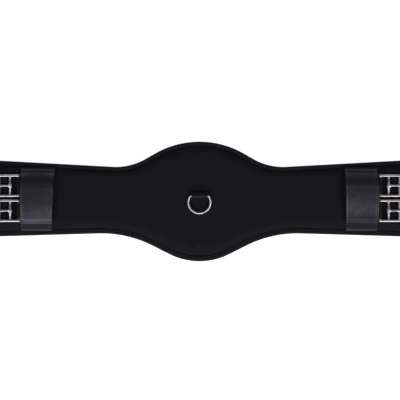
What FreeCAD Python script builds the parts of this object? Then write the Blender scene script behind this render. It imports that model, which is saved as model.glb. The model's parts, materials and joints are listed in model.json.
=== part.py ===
"""Short dressage girth with a belly plate, lying flat with its outer face up.

Frame: origin under the middle of the girth on its horse side, +X along the girth, -Y towards
the front edge, +Z out of the outer face.  Every length is in millimetres.
Shapes are drawn about the buckle axis, midway between the two rows of buckles, and moved to the
frame at the end.  The right-hand end fittings are drawn, and the left-hand ones mirror them.
"""

import FreeCAD
import Part
import math
import os

Vector = FreeCAD.Vector

# ---------------------------------------------------------------- driving dimensions
PAD_LENGTH = 650.0          # padding, end to end
BUCKLE_SPAN = 601.0         # roller centre to roller centre, sold as a 60 cm girth
BILLET_PITCH = 37.4         # between the two buckles of one end, centre to centre
BILLET_ROOM = 26.2          # clear width inside a buckle, for a 25 mm billet

# Corners of the right half of the outline, (x, y, rounding radius), about the buckle axis.
PAD_END = PAD_LENGTH / 2
REAR_CROWN = (0.0, 104.9, 133.6)
REAR_WAIST = (104.0, 45.4, 90.1)
REAR_END = (PAD_END, 57.5, 22.0)
FRONT_END = (PAD_END, -58.0, 22.0)
FRONT_WAIST = (109.2, -51.6, 171.1)
FRONT_CROWN = (0.0, -106.4, 98.9)

# Layers of the pad, from the horse side up.
LINING_TOP = 3.0
CORE_TOP = 7.5
FACE_TOP = 9.0
BINDING_WIDTH = 8.0
BINDING_THICK = 1.0
RIM_TOP = 6.4               # the bound edge is squeezed thinner than the middle
RIM_LINING_TOP = 3.0
RIM_CORE_TOP = 4.4
FACE_SKIRT = 1.2            # face cloth where it dips from the middle to the rim

# Webbing that carries the load inside the pad.
WEBBING_WIDTH = 25.0
WEBBING_THICK = 1.5
WEBBING_LOW = 4.8
WEBBING_END = 223.5         # where it rises through the face
WEBBING_TAIL_END = 234.0
TAIL_TOP = FACE_TOP + WEBBING_THICK
SLOT_GAP = 0.1

# Keeper band over the straps.
KEEPER_INNER = 219.0
KEEPER_OUTER = 268.2
KEEPER_REAR_SHOULDER = 37.5
KEEPER_FRONT_SHOULDER = -41.0
KEEPER_SLOPE = 6.0          # how far out of its shoulder each foot starts
KEEPER_THICK = 1.6
KEEPER_UNDER = 20.5         # height of its underside over the straps
KEEPER_BEND = 2.5
KEEPER_EDGE_GAP = 0.2

# Elastic strap and the chape that joins it to the buckle.
ELASTIC_INNER = 224.0
ELASTIC_OUTER = 265.0
ELASTIC_WIDTH = 25.0
ELASTIC_LOW = TAIL_TOP
ELASTIC_HIGH = ELASTIC_LOW + 2.0
CHAPE_INNER = 256.0
CHAPE_NECK = 268.6
CHAPE_THICK = 1.1
CHAPE_WIDTH = 25.2
RUNNING = 0.08              # radial play of a part that turns on a bar

# Buckle.
HINGE_BAR = (270.7, 12.8)   # x and z of the bar held by the chape
HINGE_BAR_R = 1.9
TONGUE_BAR_X = 283.5
TONGUE_BAR_R = 1.75
ROLLER_BAR_X = BUCKLE_SPAN / 2
ROLLER_BAR_R = 1.7
ROLLER_R = 2.8
ROLLER_END_PLAY = 0.3
RAIL = 4.0                  # square section of each side rail
RAIL_ROUND = 1.2
RAIL_PAST_HINGE = 1.9
RAIL_PAST_ROLLER = 2.8
COLLAR_R = 2.35
COLLAR_LENGTH = 1.6
EYE_R = 3.1
EYE_WIDTH = 6.4
EYE_SIDE_PLAY = 0.25
SHANK_WIDTH = 3.7
SHANK_THICK = 2.3
TONGUE_REST_GAP = 0.25      # between the tongue and the roller it rests on
ROLLER_REST_GAP = 0.3       # between the roller and the face it rests on

# Dee and its tab.
DEE_WIRE_R = 1.9
DEE_BOW_R = 16.6            # wire centreline
DEE_BOW_Y = -5.85
DEE_BAR_Y = 3.0
DEE_CORNER_R = 2.3
DEE_BAR_Z = 12.3
DEE_REST_GAP = 0.3
TAB_WIDTH = 24.0
TAB_THICK = 1.2
TAB_SLOT_NEAR = 8.8
TAB_SLOT_FAR = TAB_SLOT_NEAR + 2 * TAB_THICK
TAB_FLAP_END = 30.0
TAB_FLAP_LOW = WEBBING_LOW + WEBBING_THICK

X_AXIS = Vector(1, 0, 0)
Y_AXIS = Vector(0, 1, 0)
Z_AXIS = Vector(0, 0, 1)


# ---------------------------------------------------------------- helpers
def box(x, y, z):
    """A block given by its (low, high) along each axis."""
    size = [high - low for low, high in (x, y, z)]
    return Part.makeBox(*size, Vector(x[0], y[0], z[0]))


def rod(radius, y_low, y_high, x, z):
    """A cylinder along Y."""
    return Part.makeCylinder(radius, y_high - y_low, Vector(x, y_low, z), Y_AXIS)


def rounded_wire(corners, place):
    """A closed wire through corners (a, b, radius), each rounded by a tangent arc."""
    flat = [Vector(a, b, 0) for a, b, _ in corners]
    edges = []
    ends = []
    for i, (_, _, radius) in enumerate(corners):
        here = flat[i]
        back = (flat[i - 1] - here).normalize()
        on = (flat[(i + 1) % len(flat)] - here).normalize()
        if radius == 0:
            ends.append((here, None, here))
            continue
        half = back.getAngle(on) / 2
        reach = radius / math.tan(half)
        bisector = (back + on).normalize()
        middle = here + bisector * (radius / math.sin(half) - radius)
        ends.append((here + back * reach, middle, here + on * reach))
    for i, (start, middle, finish) in enumerate(ends):
        if middle is not None:
            edges.append(Part.Arc(place(start), place(middle), place(finish)).toShape())
        following = ends[(i + 1) % len(ends)][0]
        if (following - finish).Length > 1e-6:
            edges.append(Part.LineSegment(place(finish), place(following)).toShape())
    return Part.Wire(edges)


def in_plan(point):
    return Vector(point.x, point.y, 0)


def in_side_view(point):
    """Profile points (x, z), for shapes extruded along Y."""
    return Vector(point.x, 0, point.y)


def in_end_view(point):
    """Profile points (y, z), for shapes extruded along X."""
    return Vector(0, point.x, point.y)


def mirrored(shape):
    return shape.mirror(Vector(0, 0, 0), X_AXIS)


def turned(shape, centre, axis, degrees):
    copy = shape.copy()
    copy.rotate(centre, axis, degrees)
    return copy


# ---------------------------------------------------------------- pad
def pad_outline():
    """Plan of the bound edge: wide ends, a waist each side, and a belly plate."""
    right = [REAR_CROWN, REAR_WAIST, REAR_END, FRONT_END, FRONT_WAIST, FRONT_CROWN]
    left = [(-x, y, r) for x, y, r in reversed(right[1:-1])]
    return rounded_wire(right + left, in_plan)


OUTLINE = pad_outline()


def layer(inset, low, high):
    """The pad's plan, taken in by inset, between two heights."""
    wire = OUTLINE.makeOffset2D(-inset) if inset else OUTLINE
    face = Part.Face(wire)
    face.translate(Vector(0, 0, low))
    return face.extrude(Vector(0, 0, high - low))


def lining():
    under = layer(BINDING_WIDTH, 0, BINDING_THICK)
    return under.fuse(layer(BINDING_THICK, BINDING_THICK, LINING_TOP)).removeSplitter()


def edge_binding():
    """Folded tape round the whole edge, open inwards."""
    tape = layer(0, 0, RIM_TOP).cut(layer(BINDING_WIDTH, 0, RIM_TOP))
    return tape.cut(layer(BINDING_THICK, BINDING_THICK, RIM_TOP - BINDING_THICK))


def webbing(sign):
    """One load strap: flat inside the pad, with a riser and an outer tail at each end."""
    y_mid = sign * BILLET_PITCH / 2
    y = (y_mid - WEBBING_WIDTH / 2, y_mid + WEBBING_WIDTH / 2)
    flat = box((-WEBBING_END, WEBBING_END), y, (WEBBING_LOW, WEBBING_LOW + WEBBING_THICK))
    riser = box((WEBBING_END - WEBBING_THICK, WEBBING_END), y, (WEBBING_LOW, TAIL_TOP))
    tail = box((WEBBING_END, WEBBING_TAIL_END), y, (FACE_TOP, TAIL_TOP))
    return flat.fuse([riser, tail, mirrored(riser), mirrored(tail)]).removeSplitter()


def webbing_slots():
    """Slots in the face for the four risers."""
    slots = []
    for sign in (1, -1):
        y_mid = sign * BILLET_PITCH / 2
        half = WEBBING_WIDTH / 2 + SLOT_GAP
        x = (WEBBING_END - WEBBING_THICK - SLOT_GAP, WEBBING_END + SLOT_GAP)
        slot = box(x, (y_mid - half, y_mid + half), (CORE_TOP - 1, FACE_TOP + 1))
        slots += [slot, mirrored(slot)]
    return slots


def dee_tab():
    """Strap folded round the dee's bar, through a slot, with its flap under the face."""
    half = TAB_WIDTH / 2
    x = (-half, half)
    low, high = DEE_BAR_Z - TAB_THICK, DEE_BAR_Z + TAB_THICK
    roll = Part.makeCylinder(
        DEE_WIRE_R + RUNNING + TAB_THICK, TAB_WIDTH, Vector(-half, DEE_BAR_Y, DEE_BAR_Z), X_AXIS
    )
    bore = Part.makeCylinder(
        DEE_WIRE_R + RUNNING, TAB_WIDTH, Vector(-half, DEE_BAR_Y, DEE_BAR_Z), X_AXIS
    )
    legs = box(x, (DEE_BAR_Y, TAB_SLOT_FAR), (low, high))
    riser = box(x, (TAB_SLOT_NEAR, TAB_SLOT_FAR), (TAB_FLAP_LOW, high))
    flap = box(x, (TAB_SLOT_NEAR, TAB_FLAP_END), (TAB_FLAP_LOW, CORE_TOP))
    return roll.fuse([legs, riser, flap]).cut(bore).removeSplitter()


def tab_slot():
    half = TAB_WIDTH / 2 + SLOT_GAP
    y = (TAB_SLOT_NEAR - SLOT_GAP, TAB_SLOT_FAR + SLOT_GAP)
    return box((-half, half), y, (CORE_TOP - 1, FACE_TOP + 1))


def foam_core(inserts):
    inner = BINDING_WIDTH + FACE_SKIRT
    rim = layer(BINDING_THICK, RIM_LINING_TOP, RIM_CORE_TOP)
    core = rim.fuse(layer(inner, RIM_LINING_TOP, CORE_TOP)).removeSplitter()
    return core.cut(inserts)


def face_cover():
    rim = layer(BINDING_THICK, RIM_CORE_TOP, RIM_TOP - BINDING_THICK)
    middle = layer(BINDING_WIDTH, RIM_TOP - BINDING_THICK, FACE_TOP)
    under = layer(BINDING_WIDTH + FACE_SKIRT, RIM_CORE_TOP, CORE_TOP)
    return rim.fuse(middle).removeSplitter().cut([under, tab_slot()] + webbing_slots())


# ---------------------------------------------------------------- straps of one end
def keeper():
    """Band arched over both straps, its two feet sewn into the edge seam."""
    t = KEEPER_THICK
    low, under = FACE_TOP, KEEPER_UNDER
    wide = PAD_END              # the feet run on, and the seam trims them
    lean = 1.0
    rear_foot = KEEPER_REAR_SHOULDER + KEEPER_SLOPE
    front_foot = KEEPER_FRONT_SHOULDER - KEEPER_SLOPE
    around = [
        (wide, low, 0),
        (wide, low + t, 0),
        (rear_foot, low + t, KEEPER_BEND),
        (KEEPER_REAR_SHOULDER, under + t, KEEPER_BEND + t),
        (KEEPER_FRONT_SHOULDER, under + t, KEEPER_BEND + t),
        (front_foot, low + t, KEEPER_BEND),
        (-wide, low + t, 0),
        (-wide, low, 0),
        (front_foot + lean, low, KEEPER_BEND),
        (KEEPER_FRONT_SHOULDER + lean, under, KEEPER_BEND),
        (KEEPER_REAR_SHOULDER - lean, under, KEEPER_BEND),
        (rear_foot - lean, low, KEEPER_BEND),
    ]
    section = Part.Face(rounded_wire(around, in_end_view))
    section.translate(Vector(KEEPER_INNER, 0, 0))
    band = section.extrude(Vector(KEEPER_OUTER - KEEPER_INNER, 0, 0))
    seam = layer(BINDING_WIDTH + KEEPER_EDGE_GAP, low - 1, under + 2 * t)
    return band.common(seam)


def elastic(y_mid):
    y = (y_mid - ELASTIC_WIDTH / 2, y_mid + ELASTIC_WIDTH / 2)
    return box((ELASTIC_INNER, ELASTIC_OUTER), y, (ELASTIC_LOW, ELASTIC_HIGH))


def chape(y_mid):
    """Leather loop round the hinge bar, its two legs sewn over the elastic's end."""
    bar_x, bar_z = HINGE_BAR
    low, high = y_mid - CHAPE_WIDTH / 2, y_mid + CHAPE_WIDTH / 2
    bore_r = HINGE_BAR_R + RUNNING
    loop = rod(bore_r + CHAPE_THICK, low, high, bar_x, bar_z)
    legs_z = (ELASTIC_LOW - CHAPE_THICK, ELASTIC_HIGH + CHAPE_THICK)
    legs = box((CHAPE_INNER, CHAPE_NECK), (low, high), legs_z)
    body = loop.fuse(legs)
    strap = box((ELASTIC_INNER, ELASTIC_OUTER), (low - 1, high + 1), (ELASTIC_LOW, ELASTIC_HIGH))
    return body.cut([rod(bore_r, low - 1, high + 1, bar_x, bar_z), strap]).removeSplitter()


# ---------------------------------------------------------------- buckle
# A buckle is drawn level with its hinge bar, and then tipped until its roller meets the face.
ROLLER_DROP = HINGE_BAR[1] - (FACE_TOP + ROLLER_REST_GAP + ROLLER_R)
BUCKLE_TIP = math.degrees(math.asin(ROLLER_DROP / (ROLLER_BAR_X - HINGE_BAR[0])))


def tipped(shape):
    centre = Vector(HINGE_BAR[0], 0, HINGE_BAR[1])
    return turned(shape, centre, Y_AXIS, BUCKLE_TIP)


def buckle_frame(y_mid):
    """Two side rails joined by the hinge bar, the tongue bar and the roller bar."""
    z = HINGE_BAR[1]
    x_low = HINGE_BAR[0] - RAIL_PAST_HINGE
    x_high = ROLLER_BAR_X + RAIL_PAST_ROLLER
    half = BILLET_ROOM / 2
    rails = []
    for side in (1, -1):
        near, far = sorted((y_mid + side * half, y_mid + side * (half + RAIL)))
        rail = box((x_low, x_high), (near, far), (z - RAIL / 2, z + RAIL / 2))
        rails.append(rail.makeFillet(RAIL_ROUND, rail.Edges))
    reach = half + RAIL / 2
    low, high = y_mid - reach, y_mid + reach
    bars = [
        rod(HINGE_BAR_R, low, high, HINGE_BAR[0], z),
        rod(TONGUE_BAR_R, low, high, TONGUE_BAR_X, z),
        rod(ROLLER_BAR_R, low, high, ROLLER_BAR_X, z),
    ]
    start = EYE_WIDTH / 2 + EYE_SIDE_PLAY
    for side in (1, -1):
        near, far = sorted((y_mid + side * start, y_mid + side * (start + COLLAR_LENGTH)))
        bars.append(rod(COLLAR_R, near, far, TONGUE_BAR_X, z))
    return tipped(rails[0].fuse([rails[1]] + bars).removeSplitter())


def roller(y_mid):
    half = BILLET_ROOM / 2 - ROLLER_END_PLAY
    low, high = y_mid - half, y_mid + half
    sleeve = rod(ROLLER_R, low, high, ROLLER_BAR_X, HINGE_BAR[1])
    bore = rod(ROLLER_BAR_R + RUNNING, low - 1, high + 1, ROLLER_BAR_X, HINGE_BAR[1])
    return tipped(sleeve.cut(bore))


def tongue(y_mid):
    """Rolled eye on the tongue bar, and a shank that rises over the roller."""
    x, z = TONGUE_BAR_X, HINGE_BAR[1]
    over = z + ROLLER_R + TONGUE_REST_GAP
    thick = SHANK_THICK
    reach = ROLLER_BAR_X - x
    tip_x = ROLLER_BAR_X + ROLLER_R + 1.6
    side_view = [
        (x + 1.0, z + 0.2, 0),
        (x + 0.25 * reach, z + 0.9, 6.0),
        (x + 0.55 * reach, over - 0.35, 9.0),
        (ROLLER_BAR_X, over, 12.0),
        (tip_x, over - 0.5, 0.8),
        (tip_x - 0.2, over - 0.5 + 0.75 * thick, 0.8),
        (ROLLER_BAR_X, over + thick, 12.0),
        (x + 0.5 * reach, over + thick - 0.2, 9.0),
        (x + 0.5, z + EYE_R - 0.1, 0),
    ]
    profile = Part.Face(rounded_wire(side_view, in_side_view))
    profile.translate(Vector(0, y_mid - SHANK_WIDTH / 2, 0))
    shank = profile.extrude(Vector(0, SHANK_WIDTH, 0))
    half = EYE_WIDTH / 2
    eye = rod(EYE_R, y_mid - half, y_mid + half, x, z)
    bore = rod(TONGUE_BAR_R + RUNNING, y_mid - half - 1, y_mid + half + 1, x, z)
    return tipped(eye.fuse(shank).cut(bore).removeSplitter())


# ---------------------------------------------------------------- dee
def dee_ring():
    """Bent wire: a straight bar in the tab, and a round bow that rests on the face."""
    bow_centre = Vector(0, DEE_BOW_Y, DEE_BAR_Z)
    corner_y = DEE_BAR_Y - DEE_CORNER_R
    offset = corner_y - DEE_BOW_Y
    corner_x = math.sqrt((DEE_BOW_R - DEE_CORNER_R) ** 2 - offset ** 2)
    lean = math.atan2(offset, corner_x)

    def on_bow(angle):
        spoke = Vector(math.cos(angle), math.sin(angle), 0)
        return bow_centre + spoke * DEE_BOW_R

    def on_corner(angle, side):
        centre = Vector(side * corner_x, corner_y, DEE_BAR_Z)
        spoke = Vector(side * math.cos(angle), math.sin(angle), 0)
        return centre + spoke * DEE_CORNER_R

    top = math.pi / 2
    middle = (lean + top) / 2
    edges = [
        Part.LineSegment(on_corner(top, -1), on_corner(top, 1)),
        Part.Arc(on_corner(top, 1), on_corner(middle, 1), on_corner(lean, 1)),
        Part.Arc(on_bow(lean), on_bow(-top), on_bow(math.pi - lean)),
        Part.Arc(on_corner(lean, -1), on_corner(middle, -1), on_corner(top, -1)),
    ]
    path = Part.Wire([e.toShape() for e in edges])
    start = on_corner(top, -1)
    section = Part.Wire(Part.makeCircle(DEE_WIRE_R, start, X_AXIS))
    ring = path.makePipeShell([section], True, False)
    drop = DEE_BAR_Z - (FACE_TOP + DEE_REST_GAP + DEE_WIRE_R)
    tip = math.degrees(math.asin(drop / (DEE_BAR_Y - DEE_BOW_Y + DEE_BOW_R)))
    return turned(ring, Vector(0, DEE_BAR_Y, DEE_BAR_Z), X_AXIS, tip)


# ---------------------------------------------------------------- assembly
def nodes():
    """Every separate piece, by its node name."""
    webbings = {"front": webbing(-1), "rear": webbing(1)}
    tab = dee_tab()
    made = {
        "lining": lining(),
        "foam_core": foam_core([*webbings.values(), tab]),
        "face_cover": face_cover(),
        "edge_binding": edge_binding(),
        "load_webbing_front": webbings["front"],
        "load_webbing_rear": webbings["rear"],
        "dee_tab": tab,
        "dee_ring": dee_ring(),
        "right_keeper": keeper(),
    }
    for row, y_mid in (("front", -BILLET_PITCH / 2), ("rear", BILLET_PITCH / 2)):
        made[f"right_{row}_elastic"] = elastic(y_mid)
        made[f"right_{row}_chape"] = chape(y_mid)
        made[f"right_{row}_frame"] = buckle_frame(y_mid)
        made[f"right_{row}_tongue"] = tongue(y_mid)
        made[f"right_{row}_roller"] = roller(y_mid)
    for name in [n for n in made if n.startswith("right_")]:
        made[name.replace("right_", "left_", 1)] = mirrored(made[name])
    return made


def main():
    os.makedirs("parts", exist_ok=True)
    made = nodes()
    plan = OUTLINE.BoundBox
    for name, shape in made.items():
        shape.translate(Vector(0, -(plan.YMin + plan.YMax) / 2, 0))
        shape.exportStep(f"parts/{name}.step")
        solids = len(shape.Solids)
        print(f"{name:22s} solids {solids}  valid {shape.isValid()}  {shape.Volume / 1000:.2f} cm3")
    print(f"buckle tip {BUCKLE_TIP:.3f} degrees")


main()
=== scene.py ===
import json
import math

import bpy
import numpy as np
from bpy.props import FloatProperty, FloatVectorProperty, PointerProperty
from mathutils import Matrix, Vector, noise


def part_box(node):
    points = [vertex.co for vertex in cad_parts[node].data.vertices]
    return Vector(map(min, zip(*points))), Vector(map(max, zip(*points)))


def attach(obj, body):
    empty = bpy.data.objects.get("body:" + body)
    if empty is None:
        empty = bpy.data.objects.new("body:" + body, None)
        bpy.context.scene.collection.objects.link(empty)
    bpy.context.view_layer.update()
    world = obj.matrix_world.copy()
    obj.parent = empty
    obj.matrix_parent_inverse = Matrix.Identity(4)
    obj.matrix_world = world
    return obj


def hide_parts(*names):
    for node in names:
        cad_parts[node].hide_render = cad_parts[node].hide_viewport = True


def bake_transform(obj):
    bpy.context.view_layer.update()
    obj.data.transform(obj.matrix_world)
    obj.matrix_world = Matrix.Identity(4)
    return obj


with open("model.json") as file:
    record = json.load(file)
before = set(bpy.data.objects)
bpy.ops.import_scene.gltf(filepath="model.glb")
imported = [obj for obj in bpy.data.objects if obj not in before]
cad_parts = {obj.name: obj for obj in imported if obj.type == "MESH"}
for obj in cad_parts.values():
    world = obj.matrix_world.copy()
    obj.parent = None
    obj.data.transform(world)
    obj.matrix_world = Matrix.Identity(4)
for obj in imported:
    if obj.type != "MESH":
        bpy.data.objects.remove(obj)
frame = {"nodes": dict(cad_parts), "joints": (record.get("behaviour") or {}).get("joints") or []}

bl_info = {
    "name": "Dressage Girth",
    "version": (1, 0, 0),
    "blender": (4, 5, 0),
    "location": "3D View > Sidebar > Girth",
    "description": "Models the soft pieces and finishes of a short dressage girth",
    "category": "Object",
}

MM = 0.001
ENDS = {"left": -1, "right": 1}
ROWS = ("front", "rear")
JOINTS = {joint["name"]: joint for joint in frame["joints"]}
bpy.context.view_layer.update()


def linear(text):
    """An sRGB hex colour as linear red, green, blue and alpha."""
    parts = [int(text[i : i + 2], 16) / 255 for i in (1, 3, 5)]
    return [p / 12.92 if p <= 0.04045 else ((p + 0.055) / 1.055) ** 2.4 for p in parts] + [1.0]


# ---------------------------------------------------------------- settings
def length(name, description, millimetres):
    return FloatProperty(
        name=name, description=description, default=millimetres * MM, min=0.0, unit="LENGTH"
    )


def colour(name, description, text):
    return FloatVectorProperty(
        name=name,
        description=description,
        default=linear(text)[:3],
        subtype="COLOR",
        size=3,
        min=0.0,
        max=1.0,
    )


class GirthSizes(bpy.types.PropertyGroup):
    """Sizes of the soft pieces."""

    rear_crown: length("Rear crown", "Corner height of the belly plate's rear edge", 104.9)
    rear_crown_round: length("Rear crown radius", "Rounding of the rear edge's middle", 133.6)
    rear_waist_x: length("Rear waist place", "Distance of the rear waist from the middle", 104.0)
    rear_waist: length("Rear waist", "Corner height of the rear waist", 45.4)
    rear_waist_round: length("Rear waist radius", "Rounding of the rear waist", 90.1)
    rear_end: length("Rear end", "Half width at the end, rear side", 57.5)
    front_crown: length("Front crown", "Corner height of the belly plate's front edge", 106.4)
    front_crown_round: length("Front crown radius", "Rounding of the front edge's middle", 98.9)
    front_waist_x: length("Front waist place", "Distance of the front waist from the middle", 109.2)
    front_waist: length("Front waist", "Corner height of the front waist", 51.6)
    front_waist_round: length("Front waist radius", "Rounding of the front waist", 171.1)
    front_end: length("Front end", "Half width at the end, front side", 58.0)
    end_round: length("End radius", "Rounding of the four end corners", 22.0)
    tape_front: length("Front tape width", "Width of the edge binding along the front", 7.5)
    tape_rear: length("Rear tape width", "Width of the edge binding along the rear", 5.5)
    stitch: length("Stitch", "Length of one stitch with its gap", 3.4)
    thread: length("Thread", "Thickness of the sewing thread", 0.55)
    band_thick: length("Band thickness", "Thickness of the keeper bands", 1.6)
    strap_thick: length("Chape thickness", "Thickness of the chape leather", 1.1)
    tab_thick: length("Tab thickness", "Thickness of the dee tab's strap", 1.2)


class GirthColours(bpy.types.PropertyGroup):
    """Colours of the finishes."""

    face: colour("Face", "Brushed microfibre of the outer face", "#0E0D15")
    tape: colour("Tape", "Coated tape of the bound edge", "#0D0C10")
    lining: colour("Lining", "Soft grained lining", "#17171A")
    band: colour("Band", "Satin coated leather of the keepers", "#121118")
    strap: colour("Strap", "Leather of chapes and dee tab", "#0B0A0D")
    elastic: colour("Elastic", "Woven elastic", "#0D0D10")
    webbing: colour("Webbing", "Woven load webbing", "#141416")
    thread: colour("Thread", "Bonded polyester thread", "#131217")
    steel: colour("Steel", "Polished stainless steel", "#C3BEC1")
    floor: colour("Floor", "Pale studio floor", "#A8A8AA")


def sizes():
    return bpy.context.scene.girth_sizes


def colours():
    return bpy.context.scene.girth_colours


# ---------------------------------------------------------------- modelling helpers
def deselect():
    if bpy.context.object and bpy.context.object.mode != "OBJECT":
        bpy.ops.object.mode_set(mode="OBJECT")
    bpy.ops.object.select_all(action="DESELECT")
    bpy.context.tool_settings.mesh_select_mode = (True, False, False)


def only(piece):
    deselect()
    piece.select_set(True)
    bpy.context.view_layer.objects.active = piece


def edit(*steps):
    """Runs edit-mode steps on the active piece."""
    bpy.ops.object.mode_set(mode="EDIT")
    for step in steps:
        step()
    bpy.ops.object.mode_set(mode="OBJECT")


def pick(piece, wanted):
    """Selects the vertices that wanted accepts."""
    mesh = piece.data
    for face in mesh.polygons:
        face.select = False
    for edge in mesh.edges:
        edge.select = False
    for vertex in mesh.vertices:
        vertex.select = wanted(vertex)


def apply(piece, kind, **settings):
    """Adds a modifier with its settings and applies it."""
    only(piece)
    modifier = piece.modifiers.new(kind.title(), kind)
    for name, value in settings.items():
        setattr(modifier, name, value)
    bpy.ops.object.modifier_apply(modifier=modifier.name)


def smooth(piece, degrees=40):
    only(piece)
    bpy.ops.object.shade_smooth_by_angle(angle=math.radians(degrees))


def outwards(piece):
    only(piece)
    edit(
        lambda: bpy.ops.mesh.select_all(action="SELECT"),
        lambda: bpy.ops.mesh.remove_doubles(threshold=1e-6),
        lambda: bpy.ops.mesh.normals_make_consistent(inside=False),
    )


def finished(piece, name, finish, body, slot, *nodes):
    """Names a piece, gives it its finish, and lets it ride on its body in place of its nodes."""
    piece.name = piece.data.name = name
    piece.data.materials.clear()
    piece.data.materials.append(finish_of(finish))
    if body:
        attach(piece, body)
    if nodes:
        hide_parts(*nodes)
    return piece


def hoop(rings, closed=False, first_cap=False, last_cap=False):
    """A circle shaped to the first ring and extruded from ring to ring.

    A closed hoop joins its last ring to its first, as a tube's section does.
    """
    deselect()
    count = len(rings[0])
    bpy.ops.mesh.primitive_circle_add(vertices=count, radius=0.1)
    piece = bpy.context.object
    mesh = piece.data
    for vertex, point in zip(mesh.vertices, rings[0]):
        vertex.co = point
    place = {tuple(v.co): k for k, v in enumerate(mesh.vertices)}
    for ring in rings[1:]:
        edit(lambda: bpy.ops.mesh.extrude_edges_move())
        fresh = [v for v in mesh.vertices if v.select]
        order = [(v, place[tuple(v.co)]) for v in fresh]
        place = {}
        for vertex, k in order:
            vertex.co = ring[k]
            place[tuple(vertex.co)] = k
    last = {v.index for v in mesh.vertices if v.select}
    if closed:
        pick(piece, lambda v: v.index < count or v.index in last)
        edit(lambda: bpy.ops.mesh.bridge_edge_loops())
    if last_cap:
        pick(piece, lambda v: v.index in last)
        edit(lambda: bpy.ops.mesh.edge_face_add())
    if first_cap:
        pick(piece, lambda v: v.index < count)
        edit(lambda: bpy.ops.mesh.edge_face_add())
    outwards(piece)
    return piece


def strip(columns, rows, shape):
    """A grid whose points go where shape(u, v) says, with u and v from 0 to 1."""
    deselect()
    bpy.ops.mesh.primitive_grid_add(x_subdivisions=columns, y_subdivisions=rows, size=1.0)
    piece = bpy.context.object
    for vertex in piece.data.vertices:
        vertex.co = shape(vertex.co.x + 0.5, vertex.co.y + 0.5)
    return piece


def follow(path, u):
    """The point a share u of the way through a list of points, counted by its spans."""
    count = len(path) - 1
    k = min(int(u * count + 1e-6), count - 1)
    part = u * count - k
    return [a + (b - a) * part for a, b in zip(path[k], path[k + 1])]


def ribbon(path, low, high, rows):
    """A strip that follows a path of (x, z) points, as wide as the box from low to high."""

    def shape(u, v):
        x, z = follow(path, u)
        return (x, low[1] + v * (high[1] - low[1]), z)

    return strip(len(path) - 1, rows, shape)


def thicken(piece, thickness, round_edge, offset=0.0):
    """Gives a strip its thickness and eases its cut edges."""
    apply(piece, "SOLIDIFY", thickness=thickness, offset=offset, use_even_offset=True)
    outwards(piece)
    apply(
        piece,
        "BEVEL",
        width=round_edge,
        segments=3,
        limit_method="ANGLE",
        angle_limit=math.radians(50),
        use_clamp_overlap=True,
    )
    smooth(piece, 35)


# ---------------------------------------------------------------- outline of the pad
def tangent_outline(corners, spacing):
    """Even points and inward normals round a polygon whose corners are rounded by arcs."""
    runs = []
    turns = []
    for i, (x, y, radius) in enumerate(corners):
        here = Vector((x, y))
        back = (Vector(corners[i - 1][:2]) - here).normalized()
        on = (Vector(corners[(i + 1) % len(corners)][:2]) - here).normalized()
        half = back.angle(on) / 2
        reach = radius / math.tan(half)
        centre = here + (back + on).normalized() * radius / math.sin(half)
        start, finish = here + back * reach, here + on * reach
        turns.append((centre, start, finish, math.pi - 2 * half, radius))
    for i, turn in enumerate(turns):
        centre, start, finish, sweep, radius = turn
        side = 1 if (start - centre).cross(finish - centre) > 0 else -1
        runs.append(("arc", centre, start, side, sweep * radius, radius))
        following = turns[(i + 1) % len(turns)][1]
        runs.append(("line", finish, following, 0, (following - finish).length, 0))
    total = sum(run[4] for run in runs)
    count = round(total / spacing)
    points, normals = [], []
    for k in range(count):
        along = total * k / count
        for kind, a, b, side, run_length, radius in runs:
            if along <= run_length:
                break
            along -= run_length
        if kind == "line":
            direction = (b - a).normalized()
            points.append(a + direction * along)
            normals.append(Vector((direction.y, -direction.x)))
        else:
            spoke = b - a
            spoke.rotate(Matrix.Rotation(side * along / radius, 2))
            points.append(a + spoke)
            normals.append(spoke.normalized() * side)
    return points, normals


def pad_edge(spacing):
    """The bound edge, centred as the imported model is."""
    s = sizes()
    low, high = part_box("edge_binding")
    half = (high[0] - low[0]) / 2
    right = [
        (0.0, s.rear_crown, s.rear_crown_round),
        (s.rear_waist_x, s.rear_waist, s.rear_waist_round),
        (half, s.rear_end, s.end_round),
        (half, -s.front_end, s.end_round),
        (s.front_waist_x, -s.front_waist, s.front_waist_round),
        (0.0, -s.front_crown, s.front_crown_round),
    ]
    left = [(-x, y, r) for x, y, r in reversed(right[1:-1])]
    points, normals = tangent_outline(right + left, spacing)
    inward = [-n for n in normals] if (points[0] + normals[0]).y > points[0].y else normals
    middle = (max(p.y for p in points) + min(p.y for p in points)) / 2
    centred = [p - Vector((0, middle)) for p in points]
    return centred, inward


def tape_at(y):
    """Width of the binding at a point of the edge: wider along the front than the rear."""
    s = sizes()
    rearward = 0.5 + 0.5 * math.tanh(y / 0.02)
    return s.tape_front + (s.tape_rear - s.tape_front) * rearward


def taken_in(point, normal, inset, height):
    """A point of the edge taken in by an inset drawn for an 8 mm tape, in millimetres."""
    drawn = 8.0 * MM
    width = tape_at(point.y)
    reach = inset * MM
    reach = reach * width / drawn if reach < drawn else reach - drawn + width
    return (point.x + normal.x * reach, point.y + normal.y * reach, height * MM)


def buckle_axis():
    """Y of the line midway between the two rows of buckles."""
    return sum(JOINTS[f"right_{row}_lift"]["pos_m"][1] for row in ROWS) / 2


def ease(t):
    """A smooth step from 0 to 1."""
    t = max(0.0, min(1.0, t))
    return t * t * (3 - 2 * t)


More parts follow.
